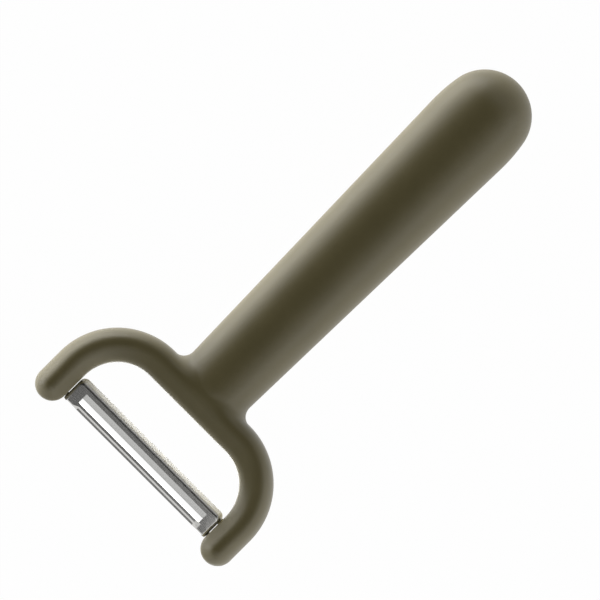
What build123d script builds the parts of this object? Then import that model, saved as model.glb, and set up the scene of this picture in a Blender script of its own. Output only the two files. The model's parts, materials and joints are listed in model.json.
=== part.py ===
from build123d import *
import math
import os

# A Y-shaped vegetable peeler, in millimetres. It is first built in the plane of its own yoke,
# with the blade's pivot line as the X axis, the handle running towards +Y and +Z up. At the
# end it is laid on the straight underside of its grip, and the origin moves to the middle of
# its footprint.

os.makedirs("parts", exist_ok=True)

# Overall reach, from the tips of the yoke to the end of the grip
overall_length = 145.0

# Yoke: an oval bar bent round two corners, with a straight arm to each end of the blade. From
# the arms to the bar it grows taller, and the ridge along its top moves away from the blade
yoke_width = 8.96
arm_height = 15.4
bar_height = 18.6
bar_ridge_shift = 1.35
bend_section_count = 5
corner_radius = 16.54
tip_setback = 0.8
pivot_to_bar = 23.07

# Grip: round, growing slowly towards a blunt rounded end
neck_radius = 10.3
neck_place = 29.5
grip_end_radius = 12.66
grip_end_run = 18.9
grip_end_face_share = 0.962

# Neck: the nose of the grip that slopes down onto the bar, and the hollow around its foot.
# The nose turns down through this angle, and then ends flat inside the bar
neck_nose_length = 11.0
nose_turn = 40.0
neck_hollow_radius = 3.4

# Core: a stiff bar moulded first, which keeps the wall of the handle moulding thin
handle_wall = 3.4
core_setback = 8.5
core_groove_count = 5
core_groove_width = 3.0
core_groove_depth = 1.2

# Blade: one stamping of thin stainless sheet, pressed to a tray with a slot along it
sheet = 0.6
blade_length = 51.4
blade_top = 1.9
blade_back = 6.84
press_radius = 1.0
blade_corner_radius = 1.8
skirt_depth = 3.0
side_gap = 0.15
slot_end_land = 3.7
slot_edge = 2.94
grind_width = 1.93
edge_land = 0.06

# Guard bar: the narrow strip in front of the slot, arched across and stepped up from the ends
guard_front = -0.56
guard_crest = 0.85
guard_back = 1.58
guard_raise = 0.3
guard_fall = 0.75
guard_back_fall = 0.25
guard_ramp = 1.4

# Pivots: a short pin riveted through a leg of the stamping at each end, free in a blind hole
pin_radius = 0.7
pin_bevel = 0.15
pin_running_gap = 0.05
pin_head_radius = 1.1
pin_head_thickness = 0.4
pin_reach = 2.0
bore_end_gap = 0.4
leg_edge = 0.65
leg_overlap = 0.95
leg_corner_radius = 0.9

# Swing of the blade from level, in degrees: tail lowest, as drawn, and tail highest
lowest_swing = -25.0
drawn_swing = 24.5
highest_swing = 30.0

# Stop lug: a block on the right arm. The tray's side lands on it one way, its leg the other
lug_reach = 0.6
lug_front = 3.6
lug_length = 1.9
lug_height = 1.2
stop_gap = 0.03

# How far a cutting shape runs past what it cuts
overrun = 1.0

# Places that follow from the sizes above
blade_half = blade_length / 2
slot_half = blade_half - slot_end_land
arm_half_width = yoke_width / 2
arm_half_height = arm_height / 2
bar_half_height = bar_height / 2
arm_inner_face = blade_half + side_gap
arm_centre = arm_inner_face + arm_half_width
tip_centre = -tip_setback
corner_place = pivot_to_bar - corner_radius
corner_centre = arm_centre - corner_radius
grip_end_place = overall_length - tip_setback - arm_half_width
taper_end_place = grip_end_place - grip_end_run
taper_slope = (grip_end_radius - neck_radius) / (taper_end_place - neck_place)
grip_lean = math.degrees(math.atan(taper_slope))
core_start = neck_place + core_setback
core_end = grip_end_place - core_setback
leg_front = -pin_radius - leg_edge
skirt_bottom = blade_top - skirt_depth
right_angle = 90.0
half_turn = 180.0


def yoke_section(side, turn):
    """Cross-section at an angle round a bend, from 0 at the arm to a right angle at the bar."""
    share = turn / right_angle
    growth = share**2 * (3 - 2 * share)
    ridge = bar_ridge_shift * growth
    half_height = arm_half_height + (bar_half_height - arm_half_height) * growth
    outer = EllipticalCenterArc(
        (ridge, 0), arm_half_width - ridge, half_height, -right_angle, arc_size=half_turn
    )
    inner = EllipticalCenterArc(
        (ridge, 0), arm_half_width + ridge, half_height, right_angle, arc_size=half_turn
    )
    across = side * math.cos(math.radians(turn))
    along = math.sin(math.radians(turn))
    bend_centre = Vector(side * corner_centre, corner_place, 0)
    middle = bend_centre + Vector(across, along, 0) * corner_radius
    cut = Plane(origin=middle, x_dir=(across, along, 0), z_dir=(along, -across, 0))
    return cut * make_face(Curve() + [outer, inner])


def yoke_form():
    """The bent oval bar: a straight bar, two quarter bends, two arms and their round tips."""
    form = extrude(yoke_section(-1, right_angle), 2 * corner_centre, dir=(1, 0, 0))
    half_oval = EllipticalCenterArc(
        (0, 0), arm_half_width, arm_half_height, -right_angle, arc_size=half_turn
    )
    chord = Line((0, arm_half_height), (0, -arm_half_height))
    tip = revolve(Plane.XZ * make_face(Curve() + [half_oval, chord]), Axis.Z)
    turn_step = right_angle / (bend_section_count - 1)
    for side, tip_turn in ((1, 0), (-1, half_turn)):
        sections = [yoke_section(side, turn_step * index) for index in range(bend_section_count)]
        bend = loft(sections)
        arm = extrude(sections[0], corner_place - tip_centre, dir=(0, -1, 0))
        arm_tip = Pos(side * arm_centre, tip_centre, 0) * Rot(0, 0, tip_turn) * tip
        form = form + bend + arm + arm_tip
    return form


def round_end(wide_radius, end):
    """Two arcs that close the grip: a long shoulder off the taper, then a near hemisphere."""
    face_radius = grip_end_face_share * wide_radius
    face_centre = Vector(end - face_radius, 0)
    taper_end = Vector(taper_end_place, wide_radius)
    inward = Vector(taper_slope, -1).normalized()
    apart = taper_end - face_centre
    excess = apart.length**2 - face_radius**2
    shoulder_radius = excess / (-2 * (inward.dot(apart) + face_radius))
    shoulder_centre = taper_end + inward * shoulder_radius
    joint_angle = math.degrees(math.atan2(-shoulder_centre.Y, face_centre.X - shoulder_centre.X))
    start_angle = right_angle + grip_lean
    shoulder = CenterArc(
        shoulder_centre, shoulder_radius, joint_angle, arc_size=start_angle - joint_angle
    )
    face_arc = CenterArc(face_centre, face_radius, 0, arc_size=joint_angle)
    return shoulder, face_arc


def turned_form(inset, start, end, nose_length):
    """A solid of revolution along the grip, drawn inset from the grip's own surface."""
    start_radius = neck_radius - inset + taper_slope * (start - neck_place)
    wide_radius = grip_end_radius - inset
    nose = EllipticalCenterArc(
        (start, 0), nose_length, start_radius, right_angle, arc_size=nose_turn
    )
    side = Line((start, start_radius), (taper_end_place, wide_radius))
    shoulder, face_arc = round_end(wide_radius, end)
    nose_end = nose @ 1
    disc = Line(nose_end, (nose_end.X, 0))
    middle = Line((end, 0), (nose_end.X, 0))
    section = make_face(Curve() + [nose, side, shoulder, face_arc, middle, disc])
    lengthwise = Plane(origin=(0, 0, 0), x_dir=(0, 1, 0), z_dir=(0, 0, -1))
    return revolve(lengthwise * section, Axis.Y)


def grip_core():
    """The stiff core, with ring grooves that lock the moulding around it."""
    core = turned_form(handle_wall, core_start, core_end, handle_wall)
    pitch = (taper_end_place - core_start) / (core_groove_count + 1)
    for index in range(core_groove_count):
        place = core_start + pitch * (index + 1)
        radius = neck_radius - handle_wall + taper_slope * (place - neck_place)
        ring = Circle(radius + overrun) - Circle(radius - core_groove_depth)
        groove = extrude(Plane.XZ * ring, core_groove_width / 2, both=True)
        core = core - Pos(0, place, 0) * groove
    return core


def at_swing(along, up, swing):
    """Where a point of the blade's side view goes when the blade is swung from level."""
    angle = math.radians(swing)
    place = along * math.cos(angle) - up * math.sin(angle)
    height = along * math.sin(angle) + up * math.cos(angle)
    return place, height


def lug_top(place):
    """Height of the lug's top, just under the tray's side when that is at its lowest."""
    first_place, first_height = at_swing(0, skirt_bottom - stop_gap, lowest_swing)
    return first_height + (place - first_place) * math.tan(math.radians(lowest_swing))


def stop_lug():
    """The block on the right arm. Its front leans as the leg's rear edge does at the stop."""
    lug_back = lug_front + lug_length
    front_lean = lug_height * math.tan(math.radians(highest_swing))
    outline = Polyline(
        (lug_front, lug_top(lug_front)),
        (lug_back, lug_top(lug_back)),
        (lug_back, lug_top(lug_back) - lug_height),
        (lug_front + front_lean, lug_top(lug_front) - lug_height),
        close=True,
    )
    inner = arm_inner_face - lug_reach
    side_view = Pos(inner, 0, 0) * (Plane.YZ * make_face(outline))
    return extrude(side_view, arm_centre - inner, dir=(1, 0, 0))


def pivot_holes():
    """The two blind holes in the arms, as one cutting shape."""
    start = arm_inner_face - overrun
    depth = overrun + pin_reach + bore_end_gap
    mouth = Plane.YZ * Circle(pin_radius + pin_running_gap)
    right = extrude(Pos(start, 0, 0) * mouth, depth, dir=(1, 0, 0))
    left = extrude(Pos(-start, 0, 0) * mouth, depth, dir=(-1, 0, 0))
    return right + left


def handle_moulding():
    """Grip and yoke in one moulding around the core, with the pivot holes and the stop lug."""
    grip = turned_form(0, neck_place, grip_end_place, neck_nose_length)
    form = yoke_form() + grip
    seams = [edge for edge in form.edges() if edge.geom_type == GeomType.BSPLINE]
    foot = [edge for edge in seams if abs(edge.center().X) < neck_radius]
    form = fillet(foot, neck_hollow_radius)
    return form + stop_lug() - grip_core() - pivot_holes()


def tray_block(inset, front, bottom):
    """A block with two rounded uprights behind and a rounded rim on three sides of its top."""
    back = blade_back - inset
    top = blade_top - inset
    block = Box(
        2 * (blade_half - inset),
        back - front,
        top - bottom,
        align=(Align.CENTER, Align.MAX, Align.MAX),
    )
    block = Pos(0, back, top) * block
    uprights = block.edges().filter_by(Axis.Z).group_by(Axis.Y)[-1]
    block = fillet(uprights, blade_corner_radius - inset)
    lid = block.faces().sort_by(Axis.Z)[-1]
    rim = lid.edges().sort_by(Axis.Y)[1:]
    return fillet(rim, press_radius - inset)


def leg_back():
    """Where the leg's rear edge is, so that it meets the lug at the highest swing."""
    along, up = at_swing(lug_front, lug_top(lug_front), -highest_swing)
    return along - stop_gap


def leg_bottom():
    """How low the leg reaches, so that its rear edge covers the lug's corner."""
    along, up = at_swing(lug_front, lug_top(lug_front), -highest_swing)
    return up - leg_overlap


def side_outline():
    """Side view of the stamping: the skirts, and the leg that carries the pin at each end."""
    corners = Polyline(
        (guard_front, blade_top + overrun),
        (guard_front, pin_radius),
        (leg_front, 0),
        (leg_front, leg_bottom()),
        (leg_back(), leg_bottom()),
        (leg_back(), skirt_bottom),
        (blade_back + overrun, skirt_bottom),
        (blade_back + overrun, blade_top + overrun),
        close=True,
    )
    face = make_face(corners)
    feet = face.vertices().group_by(Axis.Y)[0]
    face = fillet(feet, leg_corner_radius)
    return extrude(Plane.YZ * face, blade_half + overrun, both=True)


def guard_section(lift):
    """Cross-section of the guard bar: arched, with its front turned down."""
    crest = blade_top + lift
    fall_place = crest - guard_fall
    front_run = guard_crest - guard_front
    back_drop = crest - guard_back_fall
    outer_front = EllipticalCenterArc(
        (guard_crest, fall_place), front_run, guard_fall, right_angle, arc_size=right_angle
    )
    inner_front = EllipticalCenterArc(
        (guard_crest, fall_place),
        front_run - sheet,
        guard_fall - sheet,
        right_angle,
        arc_size=right_angle,
    )
    outer_back = Line((guard_crest, crest), (guard_back, back_drop))
    inner_back = Line((guard_crest, crest - sheet), (guard_back, back_drop - sheet))
    lip = Line((guard_front, fall_place), (guard_front + sheet, fall_place))
    edge = Line((guard_back, back_drop), (guard_back, back_drop - sheet))
    return make_face(Curve() + [outer_front, inner_front, outer_back, inner_back, lip, edge])


def guard_bar():
    """The strip in front of the slot: level at its ends, raised between two short ramps."""
    low = Plane.YZ * guard_section(0)
    high = Plane.YZ * guard_section(guard_raise)
    ramp_end = slot_half - guard_ramp
    flat_end = blade_half - press_radius
    bar = extrude(high, ramp_end, both=True)
    for side in (-1, 1):
        ramp = loft([Pos(side * ramp_end, 0, 0) * high, Pos(side * slot_half, 0, 0) * low])
        end = extrude(Pos(side * slot_half, 0, 0) * low, flat_end - slot_half, dir=(side, 0, 0))
        bar = bar + ramp + end
    return bar


def blade():
    """The whole stamping, level: tray, slot, ground edge, guard bar and the holes for pins."""
    deepest = leg_bottom() - overrun
    outer = tray_block(0, leg_front - overrun, deepest)
    inner = tray_block(sheet, leg_front - 2 * overrun, deepest - overrun)
    form = (outer - inner) & side_outline()
    front_cut = Box(
        2 * (blade_half - press_radius),
        guard_back - guard_front + overrun,
        2 * (sheet + overrun),
        align=(Align.CENTER, Align.MAX, Align.CENTER),
    )
    form = form - Pos(0, guard_back, blade_top) * front_cut
    slot = Box(
        2 * slot_half,
        slot_edge - guard_front,
        2 * (sheet + overrun),
        align=(Align.CENTER, Align.MAX, Align.CENTER),
    )
    form = form - Pos(0, slot_edge, blade_top) * slot
    ground = Polyline(
        (slot_edge, blade_top - sheet + edge_land),
        (slot_edge + grind_width, blade_top),
        (slot_edge + grind_width, blade_top + overrun),
        (slot_edge, blade_top + overrun),
        close=True,
    )
    form = form - extrude(Plane.YZ * make_face(ground), slot_half, both=True)
    hole = extrude(Plane.YZ * Circle(pin_radius), blade_half + overrun, both=True)
    return form + guard_bar() - hole


def pivot_pin(side):
    """A round pin with a low head inside the leg, and its end bevelled."""
    inner = blade_half - sheet
    end = arm_inner_face + pin_reach
    shank = extrude(Plane.YZ * Circle(pin_radius), end - inner, dir=(1, 0, 0))
    rim = shank.edges().sort_by(Axis.X)[-1]
    shank = chamfer(rim, pin_bevel)
    head = extrude(Plane.YZ * Circle(pin_head_radius), pin_head_thickness, dir=(-1, 0, 0))
    pin = Pos(inner, 0, 0) * (shank + head)
    return pin if side > 0 else mirror(pin, Plane.YZ)


handle = handle_moulding()
drawn = Rot(drawn_swing, 0, 0)
pieces = {
    "handle_moulding": handle,
    "grip_core": grip_core(),
    "blade": drawn * blade(),
    "pivot_pin_left": drawn * pivot_pin(-1),
    "pivot_pin_right": drawn * pivot_pin(1),
}

# Laid on the straight underside of the grip, with the origin under the middle of the handle
lean = Rot(grip_lean, 0, 0)
footprint = (lean * handle).bounding_box()
laid = Pos(0, -footprint.center().Y, -footprint.min.Z) * lean

for name, piece in pieces.items():
    export_step(laid * piece, f"parts/{name}.step")
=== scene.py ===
import json
import math

import bmesh
import bpy
import numpy as np
from mathutils import Matrix, Vector


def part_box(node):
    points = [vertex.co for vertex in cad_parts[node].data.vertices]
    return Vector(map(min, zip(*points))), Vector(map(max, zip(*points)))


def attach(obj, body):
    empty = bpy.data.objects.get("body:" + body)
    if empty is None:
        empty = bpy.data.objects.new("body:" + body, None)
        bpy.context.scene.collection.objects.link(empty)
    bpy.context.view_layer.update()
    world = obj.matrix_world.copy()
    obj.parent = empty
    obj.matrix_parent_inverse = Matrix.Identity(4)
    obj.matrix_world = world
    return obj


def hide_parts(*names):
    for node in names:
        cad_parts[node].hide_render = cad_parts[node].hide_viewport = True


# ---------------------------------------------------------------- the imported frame
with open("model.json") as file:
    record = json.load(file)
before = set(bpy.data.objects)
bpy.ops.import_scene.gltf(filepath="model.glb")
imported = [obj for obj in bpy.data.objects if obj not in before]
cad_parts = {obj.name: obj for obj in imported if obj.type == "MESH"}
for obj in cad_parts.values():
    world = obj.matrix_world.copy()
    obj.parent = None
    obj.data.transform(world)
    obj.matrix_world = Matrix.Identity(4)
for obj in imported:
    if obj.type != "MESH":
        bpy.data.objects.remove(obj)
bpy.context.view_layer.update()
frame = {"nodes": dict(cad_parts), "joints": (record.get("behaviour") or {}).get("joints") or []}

# ---------------------------------------------------------------- camera
# Straight above the peeler, which lies across the picture from its lower left to its upper right.
# The photo was taken from far off, so the camera is orthographic.
mm = 0.001
picture_width = 155.55 * mm
picture_middle = Vector((-0.22, -7.28, 0.0)) * mm
picture_turn = math.radians(45.0)
camera_height = 0.6
camera_data = bpy.data.cameras.new("camera")
camera_data.type = "ORTHO"
camera_data.ortho_scale = picture_width
camera_data.clip_end = 10.0
camera = bpy.data.objects.new("camera", camera_data)
camera.location = picture_middle + Vector((0.0, 0.0, camera_height))
camera.rotation_euler = (0.0, 0.0, picture_turn)
bpy.context.scene.collection.objects.link(camera)
bpy.context.scene.camera = camera

# ---------------------------------------------------------------- handle moulding
# Grip and yoke in one injection moulding of olive polypropylene around a stiff core, with two
# blind holes for the blade's pins. It is drawn in the plane of its own yoke, in millimetres, with
# the blade's pivot line as x, the grip along +y and z up, and is then laid in the frame.
hinge = frame["joints"][0]["pos_m"]
_, body_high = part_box("handle_moulding")
overall_length = 145.0
arm_half_width = 4.48
arm_middle = body_high.x / mm - arm_half_width
tip_place = -0.8
bar_place = 23.07
corner_radius = 16.54
corner_x = arm_middle - corner_radius
corner_y = bar_place - corner_radius
corner_run = corner_radius * math.pi / 2
neck_radius = 10.3
neck_place = 29.5
nose_length = 11.0
nose_end = 22.5
end_place = overall_length + tip_place - arm_half_width
end_radius = 12.66
end_run = 18.9
face_share = 0.962
face_radius = face_share * end_radius
face_middle = end_place - face_radius
taper_end = end_place - end_run
taper = (end_radius - neck_radius) / (taper_end - neck_place)
lean = math.atan(taper)


def add_node(tree, kind, settings=None, **links):
    """One node, with its settings, and its inputs set to a value or linked to a socket. An input
    is given by its name, or by its number after an underscore."""
    made = tree.nodes.new(kind)
    for name, value in (settings or {}).items():
        setattr(made, name, value)
    for name, value in links.items():
        key = int(name[1:]) if name[1:].isdigit() else name.replace("_", " ")
        if isinstance(value, bpy.types.NodeSocket):
            tree.links.new(value, made.inputs[key])
        else:
            made.inputs[key].default_value = value
    return made


# The blank that the exact surface is drawn from: its sizes are the tree's inputs, by name
blank_sizes = {
    "Arm middle": arm_middle,
    "Tip place": tip_place,
    "Bar place": bar_place,
    "Corner radius": corner_radius,
    "Half width": arm_half_width,
    "Half height": 8.4,
    "Grip start": 24.0,
    "Grip end": face_middle,
    "Neck radius": neck_radius,
    "End radius": end_radius - 0.3,
    "Grain": 0.5,
}


def blank_tree():
    """Nodes for the blank: an oval swept along the yoke, its two tips, and a cone and a ball for
    the grip, remeshed as one."""
    tree = bpy.data.node_groups.new("handle blank", "GeometryNodeTree")
    for name in blank_sizes:
        tree.interface.new_socket(name, in_out="INPUT", socket_type="NodeSocketFloat")
    tree.interface.new_socket("Plastic", in_out="INPUT", socket_type="NodeSocketMaterial")
    tree.interface.new_socket("Mesh", in_out="OUTPUT", socket_type="NodeSocketGeometry")
    given = tree.nodes.new("NodeGroupInput").outputs

    left = add_node(
        tree, "ShaderNodeMath", {"operation": "MULTIPLY"}, _0=given["Arm middle"], _1=-1.0)
    corners = [
        add_node(tree, "ShaderNodeCombineXYZ", X=across, Y=along).outputs[0]
        for across, along in (
            (given["Arm middle"], given["Tip place"]), (given["Arm middle"], given["Bar place"]),
            (left.outputs[0], given["Bar place"]), (left.outputs[0], given["Tip place"]),
        )
    ]
    square = add_node(
        tree, "GeometryNodeCurvePrimitiveQuadrilateral", {"mode": "POINTS"},
        Point_1=corners[0], Point_2=corners[1], Point_3=corners[2], Point_4=corners[3],
    )
    opened = add_node(
        tree, "GeometryNodeSetSplineCyclic", Geometry=square.outputs[0], Cyclic=False)
    path = add_node(
        tree, "GeometryNodeFilletCurve", {"mode": "POLY"},
        Curve=opened.outputs[0], Count=24, Radius=given["Corner radius"],
    )
    upright = add_node(tree, "GeometryNodeSetCurveNormal", {"mode": "Z_UP"}, Curve=path.outputs[0])
    circle = add_node(
        tree, "GeometryNodeCurvePrimitiveCircle", {"mode": "RADIUS"}, Resolution=48, Radius=1.0)
    oval_size = add_node(
        tree, "ShaderNodeCombineXYZ", X=given["Half width"], Y=given["Half height"], Z=1.0)
    oval = add_node(
        tree, "GeometryNodeTransform", Geometry=circle.outputs[0], Scale=oval_size.outputs[0])
    swept = add_node(
        tree, "GeometryNodeCurveToMesh",
        Curve=upright.outputs[0], Profile_Curve=oval.outputs[0], Fill_Caps=True,
    )
    ball = add_node(tree, "GeometryNodeMeshUVSphere", Segments=48, Rings=32, Radius=1.0)
    tip_size = add_node(
        tree, "ShaderNodeCombineXYZ",
        X=given["Half width"], Y=given["Half width"], Z=given["Half height"],
    )
    tips = [
        add_node(
            tree, "GeometryNodeTransform",
            Geometry=ball.outputs[0], Translation=corner, Scale=tip_size.outputs[0],
        ).outputs[0]
        for corner in (corners[0], corners[3])
    ]
    run = add_node(
        tree, "ShaderNodeMath", {"operation": "SUBTRACT"},
        _0=given["Grip end"], _1=given["Grip start"],
    )
    cone = add_node(
        tree, "GeometryNodeMeshCone", Vertices=96, Radius_Bottom=given["Neck radius"],
        Radius_Top=given["End radius"], Depth=run.outputs[0],
    )
    cone_place = add_node(tree, "ShaderNodeCombineXYZ", Y=given["Grip start"])
    shaft = add_node(
        tree, "GeometryNodeTransform", Geometry=cone.outputs[0],
        Translation=cone_place.outputs[0], Rotation=(-math.pi / 2, 0.0, 0.0),
    )
    ball_place = add_node(tree, "ShaderNodeCombineXYZ", Y=given["Grip end"])
    end_ball = add_node(
        tree, "GeometryNodeTransform", Geometry=ball.outputs[0],
        Translation=ball_place.outputs[0], Scale=given["End radius"],
    )
    joined = add_node(
        tree, "GeometryNodeMeshBoolean", {"operation": "UNION", "solver": "MANIFOLD"})
    for part in (swept.outputs[0], *tips, shaft.outputs[0], end_ball.outputs[0]):
        tree.links.new(part, joined.inputs[1])
    solid = add_node(
        tree, "GeometryNodeMeshToVolume", {"resolution_mode": "VOXEL_SIZE"},
        Mesh=joined.outputs[0], Density=1.0, Voxel_Size=given["Grain"], Interior_Band_Width=2.0,
    )
    skin = add_node(
        tree, "GeometryNodeVolumeToMesh", {"resolution_mode": "VOXEL_SIZE"},
        Volume=solid.outputs[0], Voxel_Size=given["Grain"], Threshold=0.5,
    )
    real = add_node(tree, "GeometryNodeRealizeInstances", Geometry=skin.outputs[0])
    moulded = add_node(
        tree, "GeometryNodeSetMaterial", Geometry=real.outputs[0], Material=given["Plastic"])
    add_node(tree, "NodeGroupOutput", Mesh=moulded.outputs[0])
    return tree


def made_by(tree, inputs):
    """The mesh that a tree of geometry nodes makes from nothing but its inputs."""
    holder = bpy.data.objects.new(tree.name, bpy.data.meshes.new(tree.name))
    bpy.context.scene.collection.objects.link(holder)
    modifier = holder.modifiers.new("shape", "NODES")
    modifier.node_group = tree
    for socket in tree.interface.items_tree:
        if socket.in_out == "INPUT":
            modifier[socket.identifier] = inputs[socket.name]
    seen = holder.evaluated_get(bpy.context.evaluated_depsgraph_get())
    made = bpy.data.meshes.new_from_object(seen)
    holder.modifiers.remove(modifier)
    bpy.data.objects.remove(holder)
    return made


# The exact surface of the handle, given as the distance from it. First the yoke's cross-section
section_angles = np.linspace(0, math.pi, 721)


def half_section(ridge, height, outer_height, facet_tilt, ridge_radius, edge_radius):
    """Upper half of the yoke's cross-section, as distance from its middle for each angle: a wall
    and a rounded edge towards the blade, a sloping facet, the ridge, and a quarter oval outside."""
    tilt = math.radians(facet_tilt)
    facet_run = arm_half_width + ridge - edge_radius * (1 - math.sin(tilt))
    facet_run -= ridge_radius * math.sin(tilt)
    facet = facet_run / math.cos(tilt)
    turns = np.linspace(0, 1, 24)
    outside = math.pi / 2 * turns
    across = [ridge + (arm_half_width - ridge) * np.cos(outside)]
    up = [height - outer_height + outer_height * np.sin(outside)]
    over = tilt * turns
    across.append(ridge - ridge_radius * np.sin(over))
    up.append(height - ridge_radius * (1 - np.cos(over)))
    facet_end = across[-1][-1] - facet * math.cos(tilt), up[-1][-1] - facet * math.sin(tilt)
    down = tilt + (math.pi / 2 - tilt) * turns
    across.append(facet_end[0] - edge_radius * (np.sin(down) - math.sin(tilt)))
    up.append(facet_end[1] - edge_radius * (math.cos(tilt) - np.cos(down)))
    along = np.concatenate([[arm_half_width], *across, [-arm_half_width]])
    rise = np.concatenate([[0.0], *up, [0.0]])
    fine = np.linspace(0, len(along) - 1, 40 * len(along))
    along = np.interp(fine, np.arange(len(along)), along)
    rise = np.interp(fine, np.arange(len(rise)), rise)
    return np.interp(section_angles, np.arctan2(rise, along), np.hypot(along, rise))


arm_section = half_section(
    ridge=0.3, height=7.7, outer_height=7.7, facet_tilt=41.0, ridge_radius=3.2, edge_radius=0.8)
bar_section = half_section(
    ridge=1.3, height=9.35, outer_height=6.0, facet_tilt=24.0, ridge_radius=5.0, edge_radius=2.9)

# From the one to the other it grows round the corner, and for a little past it
growth_past_corner = 2.0


def eased(share):
    share = np.clip(share, 0, 1)
    return share * share * (3 - 2 * share)


def off_yoke(x, y, z):
    """Distance from the yoke's surface: how far a point lies outside its cross-section, which
    grows from the arm's to the bar's on the way round the corner."""
    x = abs(x)
    turn = np.arctan2(y - corner_y, x - corner_x)
    in_bar = x < corner_x
    in_arm = y < corner_y
    bend = np.hypot(x - corner_x, y - corner_y) - corner_radius
    across = np.where(in_bar, y - bar_place, np.where(in_arm, x - arm_middle, bend))
    round_corner = np.where(in_arm, 0, corner_radius * np.clip(turn, 0, 2))
    run = np.where(in_bar, corner_x - x + corner_run, round_corner)
    growth_run = corner_run + corner_y + growth_past_corner
    growth = eased((run + corner_y) / growth_run)
    growth = np.where(in_arm, eased((y - tip_place) / growth_run), growth)
    past = np.minimum(y - tip_place, 0)
    plan = np.where(past < 0, np.hypot(across, past), abs(across))
    side = np.where(past < 0, across / np.maximum(plan, 1e-9), np.sign(across))
    height = np.arctan2(abs(z), plan)

    def reach(angle):
        arm = np.interp(angle, section_angles, arm_section)
        bar = np.interp(angle, section_angles, bar_section)
        return arm + (bar - arm) * growth

    outer = reach(height)
    inner = reach(math.pi - height)
    return np.hypot(plan, z) - (inner + (outer - inner) * (1 + side) / 2)


def off_grip(x, y, z):
    """Distance from the grip's surface: its nose, its taper, the shoulder at its end and the
    round face."""
    radius = np.hypot(x, z)
    side = (radius - neck_radius - taper * (y - neck_place)) / math.hypot(1, taper)
    run = (neck_place - y) / nose_length
    wide = radius / neck_radius
    level = np.hypot(run, wide)
    steep = np.hypot(run / nose_length, wide / neck_radius) / np.maximum(level, 1e-9)
    nose = np.maximum((level - 1) / np.maximum(steep, 1e-9), nose_end - y)
    face = np.hypot(y - face_middle, radius) - face_radius
    inward = np.array((taper, -1)) / math.hypot(1, taper)
    apart = np.array((taper_end - face_middle, end_radius))
    shoulder_radius = (apart @ apart - face_radius**2) / (-2 * (inward @ apart + face_radius))
    middle = np.array((taper_end, end_radius)) + inward * shoulder_radius
    shoulder = np.hypot(y - middle[0], radius - middle[1]) - shoulder_radius
    joint = math.atan2(-middle[1], face_middle - middle[0])
    on_face = np.arctan2(radius, y - face_middle) < joint
    past_taper = (y - taper_end) + (radius - end_radius) * taper > 0
    end = np.where(on_face, face, shoulder)
    return np.where(y < neck_place, nose, np.where(past_taper, end, side))


# The grip and yoke run into each other in a hollow, tighter at the crest than at the sides
crest_hollow = 1.3
side_hollow = 3.4


def off_handle(points):
    """Distance from the handle's surface."""
    x, y, z = points.T
    grip, yoke = off_grip(x, y, z), off_yoke(x, y, z)
    hollow = crest_hollow + (side_hollow - crest_hollow) * eased(abs(x) / neck_radius)
    near = np.minimum(grip, yoke)
    dip = np.hypot(np.maximum(hollow - grip, 0), np.maximum(hollow - yoke, 0))
    return np.maximum(hollow, near) - dip


def slope_of(points):
    step = 0.02
    rises = [
        off_handle(points + step * axis) - off_handle(points - step * axis) for axis in np.eye(3)]
    return np.stack(rises, axis=1) / (2 * step)


def draw_onto_surface(points, rounds):
    flattest = 0.05
    for _ in range(rounds):
        slope = slope_of(points)
        steepness = np.maximum((slope**2).sum(1), flattest)
        points = points - (off_handle(points) / steepness)[:, None] * slope
    return points


def spread_evenly(points, edges, rounds):
    """Moves each point along the surface towards the middle of its neighbours, which evens out
    the mesh."""
    share = 0.6
    count = np.bincount(edges.ravel(), minlength=len(points))[:, None]
    for _ in range(rounds):
        total = np.zeros_like(points)
        for axis in range(3):
            for one, other in ((0, 1), (1, 0)):
                places = points[edges[:, other], axis]
                total[:, axis] += np.bincount(edges[:, one], places, len(points))
        points = draw_onto_surface(points + share * (total / count - points), 1)
    return points


def linear(code):
    """A colour written as sRGB hex, as linear RGBA."""
    channels = [int(code[place:place + 2], 16) / 255 for place in (1, 3, 5)]
    turned = [c / 12.92 if c <= 0.04045 else ((c + 0.055) / 1.055) ** 2.4 for c in channels]
    return (*turned, 1.0)


def new_material(name):
    material = bpy.data.materials.new(name)
    material.use_nodes = True
    material.node_tree.nodes.clear()
    return material, material.node_tree


def in_own_frame(tree, turn):
    """Object coordinates in millimetres from the hinge, turned back by the lean of what they are
    used on, so that a pattern's scale is its count in a millimetre."""
    place = add_node(tree, "ShaderNodeTexCoord").outputs["Object"]
    return add_node(
        tree, "ShaderNodeMapping", {"vector_type": "TEXTURE"},
        Vector=place, Location=tuple(hinge), Rotation=(turn, 0.0, 0.0), Scale=(mm, mm, mm),
    ).outputs[0]


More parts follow.
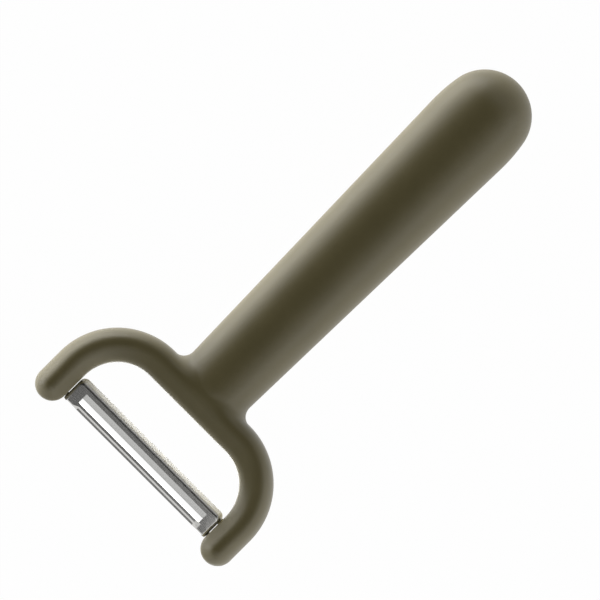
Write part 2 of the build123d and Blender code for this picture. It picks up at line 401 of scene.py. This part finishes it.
def olive_plastic():
    """Polypropylene out of a spark-eroded mould: olive all through, with an even, very fine pitted
    grain that breaks each highlight into a soft sheen, a slight cloudiness, and the faint line
    where the mould's halves met."""
    material, tree = new_material("olive polypropylene, eroded mould grain")
    place = in_own_frame(tree, lean)
    # Clouds about 8 mm across
    clouds = add_node(tree, "ShaderNodeTexNoise", Vector=place, Scale=0.12, Detail=3.0).outputs[0]
    tint = add_node(
        tree, "ShaderNodeMix", {"data_type": "RGBA"},
        _0=clouds, _6=linear("#5b5436"), _7=linear("#655d3d"),
    )
    rough = add_node(tree, "ShaderNodeMapRange", Value=clouds, To_Min=0.39, To_Max=0.45)
    # Pits 0.3 mm apart: real ones lie about 0.1 mm apart, and are drawn coarser so that they show
    grain = add_node(
        tree, "ShaderNodeTexNoise", Vector=place, Scale=3.2, Detail=2.0, Roughness=0.6)
    # The parting line, a ridge 0.13 mm wide in the plane of the yoke
    apart = add_node(tree, "ShaderNodeSeparateXYZ", Vector=place)
    level = add_node(tree, "ShaderNodeMath", {"operation": "ABSOLUTE"}, _0=apart.outputs["Z"])
    seam = add_node(
        tree, "ShaderNodeMapRange",
        Value=level.outputs[0], From_Min=0.03, From_Max=0.1, To_Min=1.0, To_Max=0.0,
    )
    height = add_node(
        tree, "ShaderNodeMath", {"operation": "MULTIPLY_ADD"},
        _0=seam.outputs[0], _1=0.8, _2=grain.outputs[0],
    )
    bump = add_node(
        tree, "ShaderNodeBump", Strength=0.5, Distance=0.03 * mm, Height=height.outputs[0])
    shader = add_node(
        tree, "ShaderNodeBsdfPrincipled",
        Base_Color=tint.outputs[2], Roughness=rough.outputs[0], Normal=bump.outputs[0],
    )
    add_node(tree, "ShaderNodeOutputMaterial", Surface=shader.outputs[0])
    return material


# The blank is drawn onto the surface, its points are spread evenly, and they are drawn once more
draw_rounds, spread_rounds, last_rounds = 8, 12, 4
olive = olive_plastic()
handle_mesh = made_by(blank_tree(), {**blank_sizes, "Plastic": olive})
points = np.empty(len(handle_mesh.vertices) * 3)
handle_mesh.vertices.foreach_get("co", points)
edges = np.empty(len(handle_mesh.edges) * 2, dtype=np.int32)
handle_mesh.edges.foreach_get("vertices", edges)
points = draw_onto_surface(points.reshape(-1, 3), draw_rounds)
points = spread_evenly(points, edges.reshape(-1, 2), spread_rounds)
points = draw_onto_surface(points, last_rounds)
handle_mesh.vertices.foreach_set("co", points.ravel())


def mesh_of(form, name):
    mesh = bpy.data.meshes.new(name)
    form.to_mesh(mesh)
    form.free()
    return mesh


def fitted(mesh, changes):
    """The mesh after other closed meshes are taken away from it or united with it."""
    holder = bpy.data.objects.new("fitting", mesh)
    bpy.context.scene.collection.objects.link(holder)
    others = []
    for other, operation in changes:
        others.append(bpy.data.objects.new(other.name, other))
        bpy.context.scene.collection.objects.link(others[-1])
        step = holder.modifiers.new(other.name, "BOOLEAN")
        step.solver = "MANIFOLD"
        step.operation = operation
        step.object = others[-1]
    seen = holder.evaluated_get(bpy.context.evaluated_depsgraph_get())
    made = bpy.data.meshes.new_from_object(seen)
    for used in (holder, *others):
        bpy.data.objects.remove(used)
    return made


# Two blind holes for the pivot pins, and the lug on the right arm that stops the blade both ways
hole_radius = 0.75
hole_depth = 2.4
hole_start = 2.0
hole_mouth = arm_middle - arm_half_width
lug_reach = 0.6
lug_edge = 0.15
lug_profile = ((3.6, -2.93), (5.5, -3.81), (5.5, -5.01), (4.29, -4.13))
sharp_bend = math.radians(35.0)
changes = []
for side in (-1, 1):
    form = bmesh.new()
    middle = Matrix.Translation((side * (hole_mouth + (hole_depth - hole_start) / 2), 0.0, 0.0))
    bmesh.ops.create_cone(
        form, cap_ends=True, segments=48, radius1=hole_radius, radius2=hole_radius,
        depth=hole_depth + hole_start, matrix=middle @ Matrix.Rotation(math.pi / 2, 4, "Y"),
    )
    changes.append((mesh_of(form, "pivot hole"), "DIFFERENCE"))
form = bmesh.new()
for x in (hole_mouth - lug_reach, arm_middle):
    for y, z in lug_profile:
        form.verts.new((x, y, z))
bmesh.ops.convex_hull(form, input=form.verts)
bmesh.ops.dissolve_limit(form, angle_limit=0.02, verts=form.verts, edges=form.edges)
bmesh.ops.bevel(
    form, geom=form.edges, offset=lug_edge, segments=3, profile=0.5, affect="EDGES")
changes.append((mesh_of(form, "stop lug"), "UNION"))
handle_mesh = fitted(handle_mesh, changes)
handle_mesh.transform(
    Matrix.Translation(hinge) @ Matrix.Rotation(lean, 4, "X") @ Matrix.Scale(mm, 4))
handle_mesh.shade_smooth()
handle_mesh.set_sharp_from_angle(angle=sharp_bend)
handle_mesh.materials.clear()
handle_mesh.materials.append(olive)
handle = bpy.data.objects.new("handle", handle_mesh)
bpy.context.scene.collection.objects.link(handle)
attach(handle, "handle")
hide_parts("handle_moulding")

# ---------------------------------------------------------------- blade
# One stamping of stainless sheet: a tray pressed out of strip with a slot pierced along it, the
# slot's rear edge ground sharp, and a stepped guard bar in front. Two legs hang from its ends,
# and the pins that it swings on are riveted through them.
nodes = frame["nodes"]
drawn_swing = math.radians(24.5)
blade_turn = lean + drawn_swing
blade_lay = (
    Matrix.Translation(hinge) @ Matrix.Rotation(blade_turn, 4, "X") @ Matrix.Scale(mm, 4))
slot_half = 22.0
grind_start, grind_end = 2.94, 4.87
grind_lowest = 1.85
skirt_start, skirt_full = 6.25, 6.6
merge_distance = 0.002
edge_slack = 0.02
blade_sharp_bend = math.radians(28.0)

# The guard bar's outline, from its front over the top to its back and round underneath: stepped
# along the slot, and level with the tray at its ends. Each ring is an outline at a place along it
guard_back = 1.58
guard_half = 24.6
guard_stepped = (
    (-0.56, 1.1), (-0.56, 1.55), (0.08, 1.6), (0.86, 2.15),
    (guard_back, 2.11), (guard_back, 1.5), (1.05, 1.56), (0.42, 1.1),
)
guard_level = (
    (-0.56, 1.1), (-0.56, 1.42), (-0.42, 1.72), (-0.1, 1.9),
    (1.7, 1.9), (1.7, 1.3), (0.3, 1.3), (0.0, 1.1),
)
guard_rings = (
    (-guard_half, guard_level), (-22.7, guard_level), (-21.1, guard_stepped),
    (21.1, guard_stepped), (22.7, guard_level), (guard_half, guard_level),
)
guard_behind = 1.75
cut_half = 24.4
cut_front = -2.0
cut_bottom, cut_top = 0.5, 3.5

# The CAD's own blade, with its plain guard bar cut off and the stepped one united with it
form = bmesh.new()
form.from_mesh(nodes["blade"].data)
form.transform(blade_lay.inverted() @ nodes["blade"].matrix_world)
bmesh.ops.remove_doubles(form, verts=form.verts, dist=merge_distance)
blade_mesh = mesh_of(form, "blade")
for stored in ("custom_normal", "sharp_face"):
    if stored in blade_mesh.attributes:
        blade_mesh.attributes.remove(blade_mesh.attributes[stored])
form = bmesh.new()
middle = Matrix.Translation((0.0, (guard_back + cut_front) / 2, (cut_bottom + cut_top) / 2))
sides = Matrix.Diagonal((2 * cut_half, guard_back - cut_front, cut_top - cut_bottom, 1.0))
bmesh.ops.create_cube(form, size=1.0, matrix=middle @ sides)
old_guard = mesh_of(form, "old guard")
form = bmesh.new()
rings = [[form.verts.new((x, y, z)) for y, z in outline] for x, outline in guard_rings]
count = len(guard_level)
for one, other in zip(rings, rings[1:]):
    for i in range(count):
        after = (i + 1) % count
        form.faces.new((one[i], one[after], other[after], other[i]))
form.faces.new(rings[0])
form.faces.new(rings[-1])
bmesh.ops.recalc_face_normals(form, faces=form.faces)
changes = [(old_guard, "DIFFERENCE"), (mesh_of(form, "guard bar"), "UNION")]
blade_mesh = fitted(blade_mesh, changes)
blade_mesh.shade_smooth()
blade_mesh.set_sharp_from_angle(angle=blade_sharp_bend)
for edge in blade_mesh.edges:
    ends = [blade_mesh.vertices[i].co for i in edge.vertices]
    on_grind = all(abs(end.y - grind_end) < edge_slack and end.z > grind_lowest for end in ends)
    on_guard = all(end.y < guard_behind and abs(end.x) < guard_half + 0.05 for end in ends)
    if on_grind or on_guard:
        edge.use_edge_sharp = True
blade_mesh.transform(blade_lay)


def rolled_steel():
    """Bright rolled stainless strip: fine streaks along its length from the rolls, edges broken by
    tumbling, and on the ground edge the marks of the wheel square to the cut, coarser and lighter
    than the sheet. The skirt at the back, drawn over the press tool's edge, is duller, and its
    colour
    is painted near white: a painted reflection of the bright surroundings."""
    material, tree = new_material("stainless strip, rolled, edge ground")
    place = in_own_frame(tree, blade_turn)
    apart = add_node(tree, "ShaderNodeSeparateXYZ", Vector=place)

    def streaks(stretch, scale):
        stretched = add_node(
            tree, "ShaderNodeVectorMath", {"operation": "MULTIPLY"}, _0=place, _1=stretch)
        return add_node(
            tree, "ShaderNodeTexNoise",
            Vector=stretched.outputs[0], Scale=scale, Detail=4.0, Roughness=0.65,
        ).outputs[0]

    def between(value, lowest, highest):
        above = add_node(tree, "ShaderNodeMath", {"operation": "GREATER_THAN"}, _0=value, _1=lowest)
        below = add_node(tree, "ShaderNodeMath", {"operation": "LESS_THAN"}, _0=value, _1=highest)
        return add_node(
            tree, "ShaderNodeMath", {"operation": "MULTIPLY"},
            _0=above.outputs[0], _1=below.outputs[0],
        ).outputs[0]

    from_middle = add_node(
        tree, "ShaderNodeMath", {"operation": "ABSOLUTE"}, _0=apart.outputs["X"]).outputs[0]
    edge = add_node(
        tree, "ShaderNodeMath", {"operation": "MULTIPLY"},
        _0=between(apart.outputs["Y"], grind_start - edge_slack, grind_end),
        _1=between(from_middle, -1.0, slot_half + 0.01),
    ).outputs[0]
    # Roll streaks 0.1 mm apart and 2 mm long, wheel marks 0.14 mm apart and 2 mm long: real ones
    # are some hundredths of a millimetre apart, and are drawn coarser so that they show
    rolled = streaks((0.06, 1.0, 1.0), 9.0)
    ground = streaks((1.0, 0.08, 0.08), 7.0)
    marks = add_node(
        tree, "ShaderNodeMix", {"data_type": "FLOAT"}, _0=edge, _2=rolled, _3=ground).outputs[0]
    deep = add_node(
        tree, "ShaderNodeMapRange", Value=edge, To_Min=0.0035 * mm, To_Max=0.010 * mm).outputs[0]
    sheet_tint = add_node(
        tree, "ShaderNodeMix", {"data_type": "RGBA"},
        _0=marks, _6=linear("#bdbcb9"), _7=linear("#d3d2cf"),
    )
    edge_tint = add_node(
        tree, "ShaderNodeMix", {"data_type": "RGBA"},
        _0=marks, _6=linear("#b4b4b2"), _7=linear("#d8d8d6"),
    )
    front_tint = add_node(
        tree, "ShaderNodeMix", {"data_type": "RGBA"},
        _0=edge, _6=sheet_tint.outputs[2], _7=edge_tint.outputs[2],
    )
    # The skirt at the back of the tray, from skirt_start to skirt_full: rougher, and its colour
    # painted near white, a painted reflection of the bright surroundings
    skirt_painted_reflection_and_rough = add_node(
        tree, "ShaderNodeMapRange", Value=apart.outputs["Y"],
        From_Min=skirt_start, From_Max=skirt_full, To_Min=0.0, To_Max=1.0,
    ).outputs[0]
    tint = add_node(
        tree, "ShaderNodeMix", {"data_type": "RGBA"},
        _0=skirt_painted_reflection_and_rough, _6=front_tint.outputs[2], _7=linear("#f4f4f3"),
    )
    wear = add_node(
        tree, "ShaderNodeMapRange",
        Value=marks, From_Min=0.3, From_Max=0.7, To_Min=0.2, To_Max=0.32,
    )
    rough = add_node(
        tree, "ShaderNodeMath", {"operation": "MULTIPLY_ADD"},
        _0=skirt_painted_reflection_and_rough, _1=0.4, _2=wear.outputs[0],
    )
    rounded = add_node(tree, "ShaderNodeBevel", {"samples": 6}, Radius=0.05 * mm)
    bump = add_node(
        tree, "ShaderNodeBump",
        Strength=0.7, Distance=deep, Height=marks, Normal=rounded.outputs[0],
    )
    shader = add_node(
        tree, "ShaderNodeBsdfPrincipled",
        Base_Color=tint.outputs[2], Metallic=1.0, Roughness=rough.outputs[0],
        Normal=bump.outputs[0],
    )
    add_node(tree, "ShaderNodeOutputMaterial", Surface=shader.outputs[0])
    return material


blade_mesh.materials.clear()
blade_mesh.materials.append(rolled_steel())
blade = bpy.data.objects.new("slotted_blade", blade_mesh)
bpy.context.scene.collection.objects.link(blade)
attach(blade, "blade")
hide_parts("blade")

# ---------------------------------------------------------------- pivot pins
# Short pins cropped from drawn stainless wire and riveted through the legs of the stamping. Only
# their shanks show, in the narrow gaps between the blade and the arms.


def drawn_wire():
    """Drawn wire: fine scratches along the pin from the die, a little duller than the sheet."""
    material, tree = new_material("stainless wire, drawn")
    place = in_own_frame(tree, blade_turn)
    stretched = add_node(
        tree, "ShaderNodeVectorMath", {"operation": "MULTIPLY"}, _0=place, _1=(0.2, 1.0, 1.0))
    # Scratches 0.07 mm apart and 0.4 mm long
    lines = add_node(
        tree, "ShaderNodeTexNoise", Vector=stretched.outputs[0], Scale=14.0, Detail=3.0).outputs[0]
    tint = add_node(
        tree, "ShaderNodeMix", {"data_type": "RGBA"},
        _0=lines, _6=linear("#aeadaa"), _7=linear("#c6c5c2"),
    )
    wear = add_node(tree, "ShaderNodeMapRange", Value=lines, To_Min=0.26, To_Max=0.4)
    bump = add_node(tree, "ShaderNodeBump", Strength=0.5, Distance=0.004 * mm, Height=lines)
    shader = add_node(
        tree, "ShaderNodeBsdfPrincipled",
        Base_Color=tint.outputs[2], Metallic=1.0, Roughness=wear.outputs[0],
        Normal=bump.outputs[0],
    )
    add_node(tree, "ShaderNodeOutputMaterial", Surface=shader.outputs[0])
    return material


wire = drawn_wire()
for name in ("pivot_pin_left", "pivot_pin_right"):
    nodes[name].data.materials.clear()
    nodes[name].data.materials.append(wire)

# ---------------------------------------------------------------- grip core
# The stiff core of glass-filled polypropylene, moulded first, that the olive moulding is moulded
# around. Its ring grooves hold the outer plastic, and it is hidden inside the grip.


def core_plastic():
    """Undyed polypropylene with short glass fibre: chalky and slightly mottled, with flow streaks
    along the core."""
    material, tree = new_material("natural polypropylene, glass filled")
    place = in_own_frame(tree, lean)
    stretched = add_node(
        tree, "ShaderNodeVectorMath", {"operation": "MULTIPLY"}, _0=place, _1=(1.0, 0.15, 1.0))
    # Streaks 0.7 mm apart and 4 mm long
    flow = add_node(
        tree, "ShaderNodeTexNoise", Vector=stretched.outputs[0], Scale=1.5, Detail=4.0).outputs[0]
    tint = add_node(
        tree, "ShaderNodeMix", {"data_type": "RGBA"},
        _0=flow, _6=linear("#b7b29d"), _7=linear("#cfcbbb"),
    )
    rough = add_node(tree, "ShaderNodeMapRange", Value=flow, To_Min=0.48, To_Max=0.62)
    bump = add_node(tree, "ShaderNodeBump", Strength=0.5, Distance=0.02 * mm, Height=flow)
    shader = add_node(
        tree, "ShaderNodeBsdfPrincipled",
        Base_Color=tint.outputs[2], Roughness=rough.outputs[0], Normal=bump.outputs[0],
    )
    add_node(tree, "ShaderNodeOutputMaterial", Surface=shader.outputs[0])
    return material


nodes["grip_core"].data.materials.clear()
nodes["grip_core"].data.materials.append(core_plastic())

# ---------------------------------------------------------------- floor
# A table painted matt white. To the camera and in reflections it is all but plain white, with a
# trace of the peeler's shadow, and it doesn't stop the light of the low panels.
floor_half = 1.5
plain_share = 0.985
floor_mesh = bpy.data.meshes.new("floor")
corners = [(-floor_half, -floor_half, 0), (floor_half, -floor_half, 0)]
corners += [(floor_half, floor_half, 0), (-floor_half, floor_half, 0)]
floor_mesh.from_pydata(corners, [], [(0, 1, 2, 3)])
floor = bpy.data.objects.new("floor", floor_mesh)
bpy.context.scene.collection.objects.link(floor)
material, tree = new_material("white table, matt paint")
diffuse = add_node(tree, "ShaderNodeBsdfDiffuse", Color=linear("#f2f2f0"))
glow = add_node(tree, "ShaderNodeEmission", Strength=1.0)
rays = add_node(tree, "ShaderNodeLightPath").outputs
mirrored = add_node(
    tree, "ShaderNodeMath", {"operation": "MAXIMUM"},
    _0=rays["Is Glossy Ray"], _1=rays["Is Transmission Ray"],
)
looked_at = add_node(
    tree, "ShaderNodeMath", {"operation": "MAXIMUM"},
    _0=rays["Is Camera Ray"], _1=mirrored.outputs[0],
)
shown = add_node(
    tree, "ShaderNodeMath", {"operation": "MULTIPLY"}, _0=looked_at.outputs[0], _1=plain_share)
mixed = add_node(
    tree, "ShaderNodeMixShader",
    _0=shown.outputs[0], _1=diffuse.outputs[0], _2=glow.outputs[0],
)
add_node(tree, "ShaderNodeOutputMaterial", Surface=mixed.outputs[0])
floor_mesh.materials.append(material)
floor.visible_diffuse = False
floor.visible_shadow = False

# ---------------------------------------------------------------- light
# Soft panels stand round the peeler, brightest low on its left, and some reach below the level of
# the floor, as on a light table. Each row gives a panel's azimuth, 0 being the peeler's right, its
# lowest and highest elevation, its length and distance in metres, and how bright it looks.
panels = {
    "left ground": (180, -75, -45, 3.0, 1.2, 1.0),
    "left key": (180, -45, -25, 3.0, 1.2, 14.0),
    "left fill": (180, -25, 10, 3.0, 1.2, 3.8),
    "left top": (180, 10, 30, 3.0, 1.2, 1.5),
    "right ground": (0, -75, -45, 3.0, 1.2, 0.55),
    "right key": (0, -45, -25, 3.0, 1.2, 1.8),
    "right fill": (0, -25, 10, 3.0, 1.2, 0.95),
    "right top": (0, 10, 30, 3.0, 1.2, 1.9),
    "right card": (0, 30, 60, 3.0, 1.2, 0.6),
    "near ground": (270, -55, -20, 1.6, 1.2, 1.5),
    "near strip": (270, -20, 20, 1.6, 1.2, 0.8),
    "near card": (299, 22, 58, 0.2, 0.3, 0.8),
    "near haze": (270, 20, 60, 1.6, 1.2, 0.13),
    "far strip": (90, -10, 45, 1.6, 1.2, 0.65),
}


def softbox(name, place, turn, width, height, strength):
    """A panel that looks as bright as strength says and can't be seen by the camera."""
    lamp = bpy.data.lights.new(name, "AREA")
    lamp.shape = "RECTANGLE"
    lamp.size, lamp.size_y = width, height
    lamp.energy = strength * lamp.size * lamp.size_y * math.pi
    made = bpy.data.objects.new(name, lamp)
    made.location = place
    made.rotation_euler = turn
    made.visible_camera = False
    bpy.context.scene.collection.objects.link(made)


for name, (azimuth, lowest, highest, length, distance, strength) in panels.items():
    bottom = distance * math.tan(math.radians(lowest))
    top = distance * math.tan(math.radians(highest))
    away = Vector((math.cos(math.radians(azimuth)), math.sin(math.radians(azimuth)), 0.0))
    middle = away * distance + Vector((0.0, 0.0, (top + bottom) / 2))
    turn = (-away).to_track_quat("-Z", "Y").to_euler()
    softbox(name, middle, turn, length, top - bottom, strength)

# What the white floor in the yoke's window throws back at the blade and the bar
window_middle = (hinge[0], hinge[1] + 12.5 * mm, 0.6 * mm)
window_width, window_height = 44.0 * mm, 9.0 * mm
facing_up = (math.pi, 0.0, 0.0)
softbox("window bounce", window_middle, facing_up, window_width, window_height, 5.0)

# A dim room, which the camera sees as plain white past the edge of the table
room_strength = 0.03
world = bpy.data.worlds.new("studio")
bpy.context.scene.world = world
world.use_nodes = True
tree = world.node_tree
tree.nodes.clear()
around = add_node(tree, "ShaderNodeBackground", Color=(1, 1, 1, 1), Strength=room_strength)
plain = add_node(tree, "ShaderNodeBackground", Color=(1, 1, 1, 1), Strength=1.0)
rays = add_node(tree, "ShaderNodeLightPath").outputs
mixed = add_node(
    tree, "ShaderNodeMixShader",
    _0=rays["Is Camera Ray"], _1=around.outputs[0], _2=plain.outputs[0],
)
add_node(tree, "ShaderNodeOutputWorld", Surface=mixed.outputs[0])
bpy.context.scene.view_settings.view_transform = "Standard"
